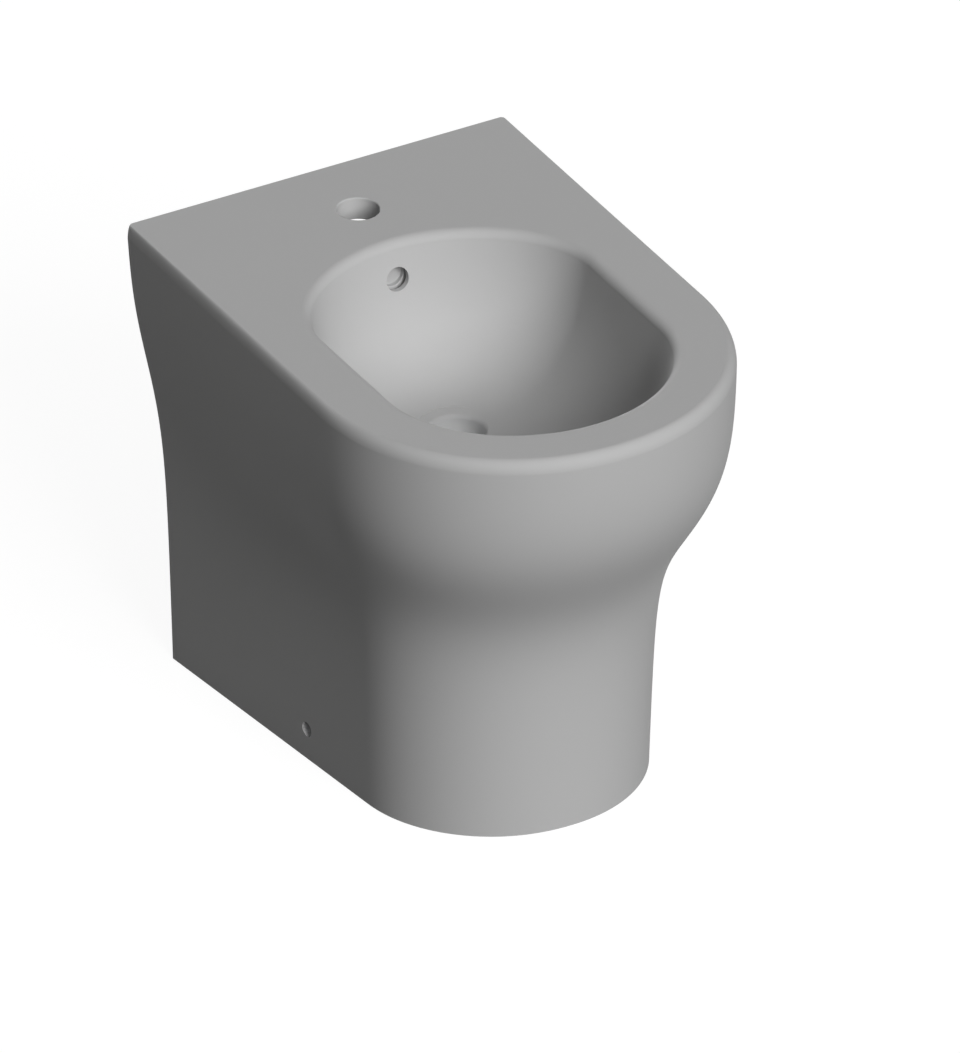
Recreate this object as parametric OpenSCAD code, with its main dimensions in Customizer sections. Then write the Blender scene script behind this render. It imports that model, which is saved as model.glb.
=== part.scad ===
// Back-to-wall floor-standing bidet: a hollow ceramic pan with one tap hole, an overflow,
// a push-plug waste set low in the drain, a bottle trap and a concealed floor fixing.
// Millimetres, +Z up, the wall behind at +Y, the user in front at -Y.
// The origin is at the bottom centre of the overall box.

/* [Pan outside] */
// widest point of the pan, across the front of the rim
pan_w = 360; // [340:1:380]
// distance from the wall plane to the front of the rim
pan_depth = 505.5; // [495:0.5:520]
// height of the flat rim above the floor
rim_z = 402; // [385:1:420]
// width of the rim where it meets the wall
back_w = 352.8; // [345:0.2:360]
// width of the foot at its back edge
foot_back_w = 298.2; // [285:0.2:305]
// width of the foot where its nose starts
foot_front_w = 249.4; // [236:0.2:256]
// distance from the wall plane to the front of the foot
foot_depth = 417.6; // [405:0.2:425]
// how far the back edge of the foot stands off the wall
foot_setback = 26.3; // [15:0.1:30]
// length of the rounded nose at the rim
nose_l = 181; // [170:1:190]
// length of the rounded nose at the floor
foot_nose_l = 110.8; // [100:0.2:120]
// height of the waist under the front of the bowl
waist_z = 249; // [240:1:258]
// softness of the waist curve, larger is gentler
waist_soft = 31; // [27:1:34]
// height of the waist along the back edge
back_waist_z = 284; // [270:1:295]
// softness of the back edge curve
back_waist_soft = 37; // [32:1:40]
// share of the waist that the foot front loses in a straight taper
foot_taper = 0.2; // [0.1:0.01:0.25]
// share of the waist that the foot back loses in a straight taper
back_taper = 0.32; // [0.25:0.01:0.4]
// height of the rounding between the side and the flat rim
rim_round_h = 12.2; // [9:0.1:14]
// how far the rounding reaches in over the sides
rim_round_side = 6.2; // [4:0.1:8]
// how far the rounding reaches in over the front
rim_round_front = 8.6; // [6:0.1:11]
// how much shorter the nose of the flat rim is than the widest nose
rim_round_nose = 4.6; // [3:0.1:6]
// thickness of the cast wall
wall_t = 12; // [10:0.5:13]
// thickness of the flat deck that carries the tap
deck_t = 20; // [18:0.5:24]

/* [Bowl] */
// width of the bowl opening at the rim
open_w = 265.4; // [258:0.2:272]
// distance from the wall plane to the back of the opening
open_back = 121.7; // [118:0.1:126]
// distance from the wall plane to the front of the opening
open_front = 464.7; // [458:0.1:468]
// length of the curved back end of the opening
open_back_l = 108.4; // [104:0.1:112]
// length of the curved front end of the opening
open_front_l = 121.1; // [116:0.1:126]
// fullness of the curved back end, 2 is an ellipse
open_back_power = 1.88; // [1.8:0.02:2.1]
// rounding of the edge of the opening
open_edge_r = 6.5; // [4:0.5:8]
// depth of the bowl at the drain
bowl_depth = 124.5; // [116:0.5:130]
// inward slope of the bowl wall, as a share of its width
bowl_draft = 0.17; // [0.12:0.01:0.2]
// squareness of the bowl section
bowl_round = 3; // [2.6:0.1:3.4]

/* [Tap hole and overflow] */
// diameter of the tap hole
tap_hole_d = 35; // [33:0.5:36]
// distance of the tap hole from the wall plane
tap_back = 70; // [64:0.5:76]
// easing of the edge of the tap hole
tap_lip = 1.4; // [1:0.1:2]
// diameter of the overflow hole
overflow_d = 20.6; // [18:0.2:22]
// depth of the overflow hole's centre under the rim
overflow_drop = 33; // [30:0.5:36]
// wall between the bowl and the overflow duct
duct_wall = 4.5; // [4:0.5:5]
// clear depth of the overflow duct
duct_gap = 5.5; // [4.5:0.5:6]
// width of the overflow duct
duct_w = 36; // [30:1:44]
// casting beside the overflow duct
duct_side = 10; // [8:1:14]
// casting behind the overflow duct
duct_back = 9; // [8:1:12]
// distance of the duct's drop behind the drain centre
duct_drop_back = 26.5; // [25.5:0.5:27]
// depth of the duct's drop to the drain chamber
duct_drop_l = 8; // [6:0.5:9]
// width of the duct's drop to the drain chamber
duct_drop_w = 22; // [18:1:26]

/* [Drain] */
// distance of the drain centre from the wall plane
drain_back = 233; // [229:0.5:237]
// diameter of the drain bore
drain_d = 46; // [45:0.5:47]
// rounding between the bowl floor and the drain bore
drain_lip = 4; // [3:0.5:5]
// depth of the ledge that carries the waste, under the bowl floor
ledge_drop = 20; // [18:0.5:21]
// length of the drain boss under the bowl floor
boss_l = 50; // [48:0.5:56]
// wall of the drain boss around its chamber
boss_wall = 11; // [9:0.5:12]
// width of the chamber around the waste
chamber_w = 9.4; // [8:0.2:11]
// height of the chamber around the waste
chamber_h = 14; // [13:0.5:16]
// thickness of the boss under the chamber
chamber_floor = 8; // [7:0.5:10]

/* [Waste and plug] */
// outside diameter of the waste body's thread
waste_d = 41.4; // [41:0.1:42]
// inside diameter of the waste body
waste_bore = 36; // [35:0.2:36.6]
// thickness of the waste body's flange
flange_t = 3; // [2.5:0.5:4]
// thickness of the rubber gasket under the flange
gasket_t = 1.5; // [1:0.5:2.5]
// height of the rubber washer under the boss
washer_t = 8; // [6:0.5:10]
// thickness of the slip washer
slip_t = 2; // [1.5:0.5:3]
// thickness of the brass nut
backnut_t = 9; // [7:0.5:11]
// distance across the corners of the brass nut
backnut_d = 60; // [56:1:64]
// thread left for the trap below the brass nut
tail_l = 12; // [12:0.5:16]
// depth of the spider that carries the plug, under the flange
hub_drop = 39.5; // [38:0.5:41]
// thickness of the spider
hub_t = 4; // [3:0.5:5]
// seat of the rubber washer outside the drain bore
washer_seat = 7.4; // [6:0.2:9]
// travel of the plug between shut and open
plug_travel = 8; // [6:0.5:9]
// length of the plug's guide beyond the travel
guide_l = 18; // [17:0.5:19]
// thickness of the plug's cap
cap_t = 2.6; // [2:0.2:3]
// thickness of the plug's seal ring
ring_d = 3; // [2.4:0.2:3.4]
// diameter of the plug's stem
stem_d = 8; // [7.4:0.2:8.4]
// diameter of the wire of the plug's spring
wire_d = 0.9; // [0.7:0.1:1]

/* [Trap] */
// outside diameter of the trap pipes
pipe_d = 32; // [31:0.2:32.4]
// wall of the trap pipes
pipe_t = 1.7; // [1.4:0.1:2]
// height of the waste's tail above the outlet pipe's centre
trap_drop = 66.5; // [66:0.5:80]
// outside diameter of the trap bottle
bottle_d = 66; // [62:1:70]
// wall of the trap bottle
bottle_t = 3; // [2.5:0.5:3.5]
// height of the bottle's body above the outlet's centre
bottle_head = 24; // [22:0.5:24]
// height of the bottle's shoulder
shoulder_h = 8; // [6:0.5:8]
// height of the bottle's threaded neck
neck_h = 14; // [12:0.5:14]
// wall of the bottle's neck outside the dip pipe
neck_wall = 6.5; // [5:0.5:8]
// wall of the outlet socket outside its pipe
socket_wall = 5.5; // [4.5:0.5:6]
// length of the outlet socket
socket_l = 20; // [18:1:30]
// depth to which the outlet pipe goes into its socket
socket_depth = 18; // [14:1:18]
// depth of the water seal
water_seal = 50; // [40:1:55]
// room between the dip pipe and the cup's floor
cup_room = 16; // [14:1:20]
// height of the cup
cup_h = 30; // [26:1:36]
// wall of the cup
cup_t = 3.2; // [2.6:0.2:4]
// wall of the plastic nuts outside their thread
nut_wall = 4.8; // [4:0.2:6]
// thread that a plastic nut covers
nut_grip = 8; // [7:0.5:8.5]
// thickness of a plastic nut's lip
nut_lip = 3; // [2.4:0.2:3.2]
// thickness of the rubber seal in a plastic nut
seal_t = 4; // [3:0.2:4]
// thickness of the flat washer under the waste's tail
joint_washer_t = 3.8; // [3:0.2:4]
// width of the dip pipe's collar
pipe_collar_w = 3.5; // [3:0.1:4]
// thickness of the dip pipe's collar
pipe_collar_t = 3; // [2.5:0.5:4]
// thickness of the cup's seal
cup_seal_t = 3; // [2:0.5:4]
// gap between the outlet pipe's end and the wall plane
outlet_gap = 0.5; // [0.5:0.5:3]
// length of the outlet pipe that goes into the wall connector
spigot_l = 50; // [40:1:60]
// width of the stop ring behind the spigot
stop_w = 3; // [2:0.5:4]
// height of the stop ring behind the spigot
stop_h = 1.5; // [1:0.1:2]

/* [Fixing] */
// diameter of the hole in each side of the foot
side_hole_d = 13; // [12.4:0.1:14]
// height of the side holes
side_hole_z = 28; // [26:0.5:30]
// distance of the side holes from the wall plane
side_hole_back = 221; // [210:1:230]
// depth of the side screw's seat
side_seat = 10.4; // [9:0.2:11]
// thickness of the foot's wall at the side screw
side_boss_t = 17; // [16:0.5:20]
// casting around the side screw's seat
side_boss_wall = 7.5; // [6:0.5:9]
// diameter of the side screw shank
screw_d = 6; // [5:0.5:6]
// height of the side screw's head
head_t = 3.4; // [3:0.2:4]
// wall of the nylon sleeve around the side screw
sleeve_wall = 2; // [1.6:0.2:3]
// width of the nylon sleeve's flange
sleeve_flange_w = 3; // [2:0.5:4]
// thickness of the nylon sleeve's flange
sleeve_flange_t = 1.5; // [1:0.5:2]
// length of the nylon sleeve
sleeve_l = 20; // [14:1:24]
// length of the side screw with its head
screw_l = 42; // [38:1:46]
// thickness of the steel angle
angle_t = 3; // [2.5:0.5:4]
// width of the steel angle
angle_w = 32; // [28:1:40]
// length of the steel angle along the floor
angle_l = 36; // [32:1:42]
// height of the steel angle
angle_h = 46; // [42:1:52]
// diameter of the angle's floor hole
floor_hole_d = 8.4; // [8:0.2:9]
// distance of the floor hole from the angle's upright face
floor_hole_in = 21.4; // [20:0.2:24]

/* [Hidden] */
$fn = 64;
// what a cutting shape runs past the face it cuts
cut = 1;
// clearance of a part that turns, slides or screws
run_gap = 0.1;
// clearance of parts that pass each other freely
free_gap = 0.4;
// clearance between facing parts of the plug and the waste
face_gap = 0.3;

china = [0.68, 0.68, 0.68];
chrome = [0.83, 0.84, 0.85];
brass = [0.8, 0.65, 0.35];
steel = [0.75, 0.76, 0.78];
rubber = [0.15, 0.15, 0.15];
plastic = [0.95, 0.95, 0.93];
nylon = [0.92, 0.92, 0.9];

// the rounding from the widest level to the flat rim
flat_half_w = pan_w / 2 - rim_round_side;
flat_depth = pan_depth - rim_round_front;
flat_nose_l = nose_l - rim_round_nose;
round_z = rim_z - rim_round_h;
rim_power = 2.04;
foot_power = 2.1;
side_steps = 5;
nose_steps = 13;
wall_levels = 22;
hollow_levels = 12;
open_steps = 24;
bowl_steps = 12;
behind_wall = 20;

// the drain, from the bowl floor down
drain_y = -drain_back;
drain_z = rim_z - bowl_depth;
ledge_z = drain_z - ledge_drop;
boss_z = drain_z - boss_l;
waste_r = waste_d / 2;
ledge_bore_r = waste_r + 0.9;
chamber_r = ledge_bore_r + chamber_w;
chamber_z = boss_z + chamber_floor;
boss_r = chamber_r + boss_wall;
duct_head = 2;
duct_top_z = rim_z - overflow_drop + overflow_d / 2 + duct_head;
duct_floor_t = 2;
overflow_reach = 29;

// the waste, from the top down
waste_in_r = waste_bore / 2;
flange_r = drain_d / 2 - 0.5;
flange_z = ledge_z + gasket_t;
seat_r = waste_in_r + 1.6;
seat_deep = 2;
seat_z = flange_z + flange_t - seat_deep;
slots = 4;
slot_w = 8;
slot_gap = 2.5;
slot_h = chamber_h - 2 * slot_gap;
slot_z = chamber_z + slot_gap;
washer_r = ledge_bore_r + washer_seat;
washer_bevel = 3;
washer_z = boss_z - washer_t;
slip_z = washer_z - slip_t;
backnut_z = slip_z - backnut_t;
tail_z = backnut_z - tail_l;
hub_r = 8;
hub_z = flange_z - hub_drop;
arms = 3;
arm_w = 4;
arm_root = 0.8;

// the push plug
stem_r = stem_d / 2;
cap_r = seat_r - face_gap;
cap_z = seat_z + run_gap;
cap_edge_h = 0.6;
cap_edge_w = 3;
neck_lip_t = 1.2;
plug_neck_h = neck_lip_t + ring_d + 0.8;
plug_neck_z = cap_z - plug_neck_h;
ring_mid_r = waste_in_r - face_gap - ring_d / 2;
plug_neck_r = ring_mid_r - ring_d / 2 - 0.05;
press_gap = 0.02;
cartridge_in_r = stem_r + 1;
cartridge_r = cartridge_in_r + 1.5;
cartridge_z = hub_z + hub_t;
cartridge_h = plug_travel + guide_l;
cartridge_floor = 2;
collar_t = 3;
stud_r = 4;
stud_l = 9;
foot_t = 4;
stem_foot_r = cartridge_in_r - face_gap;
stem_foot_z = cartridge_z + cartridge_h - collar_t - plug_travel - foot_t - 1;
wire_r = wire_d / 2;
coil_r = (stem_foot_r + stem_r) / 2 - wire_r;
coil_turns = 5;
wire_steps = 16;
wire_sides = 6;

// the trap, from the top down
pipe_r = pipe_d / 2;
pipe_collar_r = pipe_r + pipe_collar_w;
pipe_top_z = tail_z - joint_washer_t - run_gap;
inlet_nut_z = pipe_top_z - pipe_collar_t - nut_lip;
inlet_nut_h = nut_lip + pipe_collar_t + joint_washer_t + nut_grip;
outlet_z = tail_z - trap_drop;
bottle_r = bottle_d / 2;
bottle_top_z = outlet_z + bottle_head;
neck_r = pipe_r + neck_wall;
neck_flare = 2;
neck_z = bottle_top_z + shoulder_h;
seal_inset = 0.5;
union_nut_h = nut_lip + seal_t + nut_grip;
dip_z = outlet_z - pipe_r + pipe_t - water_seal;
cup_z = dip_z - cup_room;
cup_r = bottle_r + run_gap + cup_t;
bottle_z = cup_z + cup_t + cup_seal_t;
socket_r = pipe_r + socket_wall;
socket_y = drain_y + bottle_r + socket_l;
socket_stop_y = socket_y - socket_depth;
grip_ribs = 16;
grip_w = 3;
grip_h = 1.4;
grip_inset = 1.5;

// the side screw and what it passes through
side_x = side_half(side_hole_back, side_hole_z);
side_boss_r = side_hole_d / 2 + side_boss_wall;
side_bore_r = screw_d / 2 + 0.6;
head_r = side_hole_d / 2 - 0.75;
key_d = 4.6;
key_depth = 2;
angle_gap = 1.5;
angle_x = side_x - side_boss_t - angle_gap;
sleeve_r = screw_d / 2 + sleeve_wall;
sleeve_flange_r = sleeve_r + sleeve_flange_w;
sleeve_nose = 0.8;

// moves a shape drawn from the wall plane to the frame of the whole object
module placed() {
    translate([0, pan_depth / 2, 0])
        children();
}

// places a part that is drawn about the drain's axis
module on_drain() {
    placed()
        translate([0, drain_y, 0])
            children();
}

// places both parts of a pair that points outwards from each side of the foot
module both_sides(x) {
    placed()
        for (side = [-1, 1])
            translate([side * x, -side_hole_back, side_hole_z])
                rotate([0, side * 90, 0])
                    children();
}

module ring(r_out, r_in, h) {
    difference() {
        cylinder(r = r_out, h = h);
        translate([0, 0, -cut])
            cylinder(r = r_in, h = h + 2 * cut);
    }
}

// finger grips around a plastic nut
module grips(r, h) {
    for (i = [0 : grip_ribs - 1])
        rotate([0, 0, i * 360 / grip_ribs])
            translate([r - grip_h, -grip_w / 2, grip_inset])
                cube([2 * grip_h, grip_w, h - 2 * grip_inset]);
}

// a plastic union nut with its lip at the bottom
module union_nut(thread_r, h) {
    color(plastic)
    difference() {
        union() {
            cylinder(r = thread_r + nut_wall, h = h);
            grips(thread_r + nut_wall, h);
        }
        translate([0, 0, -cut])
            cylinder(r = pipe_r + free_gap, h = h);
        translate([0, 0, nut_lip])
            cylinder(r = thread_r + run_gap, h = h);
    }
}

// a solid through rings of points, each ring clockwise from above and listed upwards
module loft(rings) {
    n = len(rings[0]);
    m = len(rings);
    points = [for (r = rings) each r];
    sides = [
        for (j = [0 : m - 2], i = [0 : n - 1], k = [0, 1])
            let (a = j * n + i, b = j * n + (i + 1) % n)
                k == 0 ? [a, a + n, b] : [b, a + n, b + n]
    ];
    bottom = [for (i = [0 : n - 1]) i];
    top = [for (i = [n - 1 : -1 : 0]) (m - 1) * n + i];
    polyhedron(points, concat([bottom], sides, [top]), convexity = 8);
}

function mix(a, b, k) = a + (b - a) * k;

// share of the waist reached at a height: near 0 at the rim, near 1 at the floor
function waist(z, mid, soft, taper) =
    (1 - taper * z / rim_z) / (1 + exp((z - mid) / soft));

function front_waist(z) = waist(z, waist_z, waist_soft, foot_taper);

function back_waist(z) = waist(z, back_waist_z, back_waist_soft, back_taper);

// half the outside width at a distance from the wall and a height
function side_half(back, z) =
    let (
        f = front_waist(z),
        g = back_waist(z),
        first = foot_setback * g,
        last = mix(pan_depth, foot_depth, f) - mix(nose_l, foot_nose_l, f)
    )
    mix(
        mix(back_w, foot_back_w, g) / 2,
        mix(pan_w, foot_front_w, f) / 2,
        (back - first) / (last - first)
    );

// half of a plan outline: straight side from the back, then the rounded nose
function half_plan(w_back, w_front, back, depth, nose, power) =
    let (
        start = nose - depth,
        lean = (w_back - w_front) / (back - start)
    )
    concat(
        [for (i = [0 : side_steps - 1])
            let (k = i / side_steps) [mix(w_back, w_front, k), mix(back, start, k)]],
        [for (i = [0 : nose_steps])
            let (
                a = 90 * i / nose_steps,
                c = pow(cos(a), 2 / power),
                s = pow(sin(a), 2 / power)
            )
            [w_front * c - lean * nose * s * c, start - nose * s]]
    );

// a whole ring at one height, from the back left round the nose to the back right
function plan_ring(half, z) =
    let (n = len(half))
    concat(
        [for (p = half) [-p.x, p.y, z]],
        [for (i = [n - 2 : -1 : 0]) [half[i].x, half[i].y, z]]
    );

// plan of the outside at a height; inset thins it for the hollow behind the wall
function body_half(z, inset, back = undef) =
    let (
        f = front_waist(z),
        g = back_waist(z)
    )
    half_plan(
        mix(back_w, foot_back_w, g) / 2 - inset,
        mix(pan_w, foot_front_w, f) / 2 - inset,
        is_undef(back) ? -foot_setback * g : back,
        mix(pan_depth, foot_depth, f) - inset,
        mix(nose_l, foot_nose_l, f) - inset,
        mix(rim_power, foot_power, f)
    );

// the rounding up to the flat rim, from 0 at the widest level to 1 at the flat
function rim_half(k) =
    half_plan(
        mix(back_w / 2, flat_half_w, k),
        mix(pan_w / 2, flat_half_w, k),
        0,
        mix(pan_depth, flat_depth, k),
        mix(nose_l, flat_nose_l, k),
        rim_power
    );

module outside() {
    loft(concat(
        [for (i = [0 : wall_levels - 1])
            let (z = round_z * i / wall_levels)
                plan_ring(body_half(z, 0), z)],
        [for (a = [0 : 15 : 90])
            plan_ring(rim_half(1 - cos(a)), round_z + rim_round_h * sin(a))]
    ));
}

// the space behind the wall, open to the floor and to the wall behind
module hollow() {
    loft([
        for (i = [0 : hollow_levels])
            let (z = (rim_z - deck_t) * i / hollow_levels)
                plan_ring(body_half(z, wall_t, behind_wall), i == 0 ? -cut : z)
    ]);
}

// plan of the bowl opening below its edge rounding; grow widens it
function open_plan(grow) =
    let (
        less = open_edge_r - grow,
        w = open_w / 2 - less,
        front_l = open_front_l - less,
        back_l = open_back_l - less,
        p = 2 / open_back_power
    )
    concat(
        [for (i = [0 : open_steps])
            let (a = 180 * i / open_steps)
                [-w * cos(a), front_l - open_front + less - front_l * sin(a)]],
        [for (i = [0 : open_steps])
            let (a = 180 * i / open_steps, c = cos(a))
                [w * sign(c) * pow(abs(c), p),
                    back_l * pow(sin(a), p) - open_back - less - back_l]]
    );

function bowl_ring(grow, k, z) =
    [for (p = open_plan(grow)) [p.x * k, drain_y + (p.y - drain_y) * k, z]];

// the wall and floor of the bowl, from the floor up to the edge rounding
function bowl_rings(grow) =
    let (
        top = rim_z - open_edge_r,
        depth = bowl_depth - open_edge_r + grow
    )
    [for (i = [1 : bowl_steps])
        let (
            a = 90 - 90 * i / bowl_steps,
            down = pow(sin(a), 2 / bowl_round),
            k = pow(cos(a), 2 / bowl_round) * (1 - bowl_draft * down)
        )
        bowl_ring(grow, k, top - depth * down)];

// the open bowl, with the rounded edge of its opening
module bowl_space() {
    loft(concat(
        bowl_rings(0),
        [for (a = [70 : -20 : 10])
            bowl_ring(open_edge_r * (1 - sin(a)), 1, rim_z - open_edge_r * (1 - cos(a)))],
        [
            bowl_ring(open_edge_r, 1, rim_z),
            bowl_ring(open_edge_r, 1, rim_z + cut)
        ]
    ));
}

// the bowl with a wall around it
module bowl_shell(t) {
    loft(concat(bowl_rings(t), [bowl_ring(t, 1, rim_z + cut)]));
}

// the strip behind the bowl that holds the overflow duct
module duct_strip(w, z0, z1) {
    translate([-w / 2, drain_y + duct_drop_back, z0])
        cube([w, drain_back, z1 - z0]);
}

// the duct from behind the overflow hole, under the bowl and down to the drain chamber
module overflow_duct() {
    drop_z = chamber_z + duct_floor_t;
    difference() {
        intersection() {
            bowl_shell(duct_wall + duct_gap);
            duct_strip(duct_w, chamber_z + chamber_h, duct_top_z);
        }
        bowl_shell(duct_wall);
    }
    translate([-duct_drop_w / 2, drain_y + duct_drop_back, drop_z])
        cube([duct_drop_w, duct_drop_l, drain_z - duct_wall - duct_floor_t - drop_z]);
    translate([0, drain_y, 0]) {
        translate([0, 0, chamber_z + cut / 2])
            cylinder(r = chamber_r - cut / 2, h = chamber_h - cut);
        translate([0, 0, boss_z - cut])
            cylinder(r = ledge_bore_r - cut / 2, h = boss_l);
    }
}

// the cast shell before the round holes are made
module casting() {
    difference() {
        outside();
        difference() {
            hollow();
            bowl_shell(wall_t);
            intersection() {
                bowl_shell(duct_wall + duct_gap + duct_back);
                duct_strip(duct_w + 2 * duct_side, boss_z, rim_z);
            }
            translate([0, drain_y, boss_z])
                cylinder(r = boss_r, h = boss_l);
            for (side = [-1, 1])
                translate([side * (side_x - side_boss_t), -side_hole_back, side_hole_z])
                    rotate([0, side * 90, 0])
                        cylinder(r = side_boss_r, h = side_boss_t);
        }
        bowl_space();
        overflow_duct();
    }
}

module ceramic_body() {
    color(china)
    placed()
    difference() {
        resize([0, 0, 0])
            casting();
        // tap hole with its eased edge
        translate([0, -tap_back, rim_z - deck_t - cut])
            cylinder(d = tap_hole_d, h = deck_t + 2 * cut);
        translate([0, -tap_back, rim_z - tap_lip])
            cylinder(r1 = tap_hole_d / 2, r2 = tap_hole_d / 2 + tap_lip + cut,
                h = tap_lip + cut);
        // overflow, from the bowl into the duct behind it
        translate([0, -open_back - cut, rim_z - overflow_drop])
            rotate([90, 0, 0])
                cylinder(d = overflow_d, h = overflow_reach);
        // drain: rounded lip, bore, ledge and the chamber that takes the overflow
        translate([0, drain_y, 0]) {
            rotate_extrude()
                difference() {
                    translate([0, drain_z - drain_lip])
                        square([drain_d / 2 + drain_lip, 2 * drain_lip]);
                    translate([drain_d / 2 + drain_lip, drain_z - drain_lip])
                        circle(r = drain_lip);
                }
            translate([0, 0, ledge_z])
                cylinder(d = drain_d, h = ledge_drop);
            translate([0, 0, boss_z - cut])
                cylinder(r = ledge_bore_r, h = ledge_z - boss_z + 2 * cut);
            translate([0, 0, chamber_z])
                cylinder(r = chamber_r, h = chamber_h);
        }
        // the stepped holes for the side screws
        for (side = [-1, 1])
            translate([side * (side_x - side_seat), -side_hole_back, side_hole_z])
                rotate([0, side * 90, 0]) {
                    cylinder(d = side_hole_d, h = 2 * side_seat);
                    translate([0, 0, -side_boss_t])
                        cylinder(r = side_bore_r, h = side_boss_t + cut);
                }
    }
}

module waste_body() {
    color(chrome)
    on_drain() {
        difference() {
            union() {
                translate([0, 0, flange_z])
                    cylinder(r = flange_r, h = flange_t);
                translate([0, 0, tail_z])
                    cylinder(r = waste_r, h = flange_z - tail_z + cut);
            }
            translate([0, 0, tail_z - cut])
                cylinder(r = waste_in_r, h = flange_z - tail_z + flange_t + 2 * cut);
            translate([0, 0, seat_z])
                cylinder(r = seat_r, h = flange_t);
            for (i = [0 : slots - 1])
                rotate([0, 0, 45 + i * 360 / slots])
                    translate([waste_in_r - 2 * cut, -slot_w / 2, slot_z])
                        cube([waste_r - waste_in_r + 4 * cut, slot_w, slot_h]);
        }
        // the spider that carries the plug
        translate([0, 0, hub_z])
            difference() {
                union() {
                    cylinder(r = hub_r, h = hub_t);
                    for (i = [0 : arms - 1])
                        rotate([0, 0, 90 + i * 360 / arms])
                            translate([0, -arm_w / 2, 0])
                                cube([waste_in_r + arm_root, arm_w, hub_t]);
                }
                translate([0, 0, -cut])
                    cylinder(r = stud_r + run_gap, h = hub_t + 2 * cut);
            }
    }
}

module waste_gasket() {
    color(rubber)
    on_drain()
        translate([0, 0, ledge_z])
            ring(flange_r, waste_r + run_gap, gasket_t);
}

module boss_washer() {
    color(rubber)
    on_drain()
        translate([0, 0, washer_z])
            difference() {
                union() {
                    cylinder(r = washer_r, h = washer_t - washer_bevel);
                    translate([0, 0, washer_t - washer_bevel])
                        cylinder(r1 = washer_r, r2 = washer_r - washer_bevel,
                            h = washer_bevel);
                }
                translate([0, 0, -cut])
                    cylinder(r = waste_r + run_gap, h = washer_t + 2 * cut);
            }
}

module slip_washer() {
    color(nylon)
    on_drain()
        translate([0, 0, slip_z])
            ring(washer_r, waste_r + free_gap, slip_t);
}

module waste_backnut() {
    color(brass)
    on_drain()
        translate([0, 0, backnut_z])
            difference() {
                intersection() {
                    cylinder(d = backnut_d, h = backnut_t, $fn = 6);
                    cylinder(d = backnut_d - 2, h = backnut_t);
                }
                translate([0, 0, -cut])
                    cylinder(r = waste_r + run_gap, h = backnut_t + 2 * cut);
            }
}

module plug_cap() {
    color(chrome)
    on_drain()
        difference() {
            union() {
                translate([0, 0, cap_z])
                    cylinder(r = cap_r, h = cap_t - cap_edge_h);
                translate([0, 0, cap_z + cap_t - cap_edge_h])
                    cylinder(r1 = cap_r, r2 = cap_r - cap_edge_w, h = cap_edge_h);
                translate([0, 0, plug_neck_z])
                    cylinder(r = plug_neck_r, h = plug_neck_h + cut);
                translate([0, 0, plug_neck_z])
                    cylinder(r = ring_mid_r + ring_d / 4, h = neck_lip_t);
            }
            translate([0, 0, plug_neck_z - cut])
                cylinder(r = stem_r + press_gap, h = plug_neck_h + cut);
        }
}

module plug_ring() {
    color(rubber)
    on_drain()
        translate([0, 0, plug_neck_z + neck_lip_t + ring_d / 2])
            rotate_extrude()
                translate([ring_mid_r, 0])
                    circle(d = ring_d, $fn = 24);
}

module plug_stem() {
    color(steel)
    on_drain() {
        translate([0, 0, stem_foot_z])
            cylinder(r = stem_foot_r, h = foot_t);
        translate([0, 0, stem_foot_z])
            cylinder(r = stem_r, h = cap_z - stem_foot_z);
    }
}

// the plug's guide, screwed into the spider
module plug_cartridge() {
    color(brass)
    on_drain() {
        translate([0, 0, cartridge_z])
            difference() {
                cylinder(r = cartridge_r, h = cartridge_h);
                translate([0, 0, cartridge_floor])
                    cylinder(r = cartridge_in_r,
                        h = cartridge_h - cartridge_floor - collar_t);
                translate([0, 0, cartridge_floor])
                    cylinder(r = stem_r + run_gap, h = cartridge_h);
            }
        translate([0, 0, cartridge_z - stud_l])
            cylinder(r = stud_r, h = stud_l + cut);
    }
}

// round wire wound as a compression spring under the stem's foot
module plug_spring() {
    base_z = cartridge_z + cartridge_floor + wire_r + run_gap / 2;
    rise = stem_foot_z - wire_r - run_gap - base_z;
    n = coil_turns * wire_steps;
    color(steel)
    on_drain()
        loft([
            for (i = [0 : n])
                let (a = 360 * i / wire_steps)
                [for (j = [0 : wire_sides - 1])
                    let (b = -360 * j / wire_sides, r = coil_r + wire_r * cos(b))
                    [r * cos(a), r * sin(a), base_z + rise * i / n + wire_r * sin(b)]]
        ]);
}

module inlet_nut() {
    on_drain()
        translate([0, 0, inlet_nut_z])
            union_nut(waste_r, inlet_nut_h);
}

module inlet_washer() {
    color(rubber)
    on_drain()
        translate([0, 0, pipe_top_z])
            ring(pipe_collar_r, pipe_r - pipe_t, joint_washer_t);
}

module inlet_pipe() {
    color(plastic)
    on_drain()
        difference() {
            union() {
                translate([0, 0, dip_z])
                    cylinder(r = pipe_r, h = pipe_top_z - dip_z);
                translate([0, 0, pipe_top_z - pipe_collar_t])
                    cylinder(r = pipe_collar_r, h = pipe_collar_t);
            }
            translate([0, 0, dip_z - cut])
                cylinder(r = pipe_r - pipe_t, h = pipe_top_z - dip_z + 2 * cut);
        }
}

module bottle_nut() {
    on_drain()
        translate([0, 0, neck_z + neck_h + seal_t + nut_lip])
            mirror([0, 0, 1])
                union_nut(neck_r, union_nut_h);
}

module bottle_seal() {
    color(rubber)
    on_drain()
        translate([0, 0, neck_z + neck_h])
            ring(neck_r - seal_inset, pipe_r + press_gap, seal_t);
}

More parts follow.
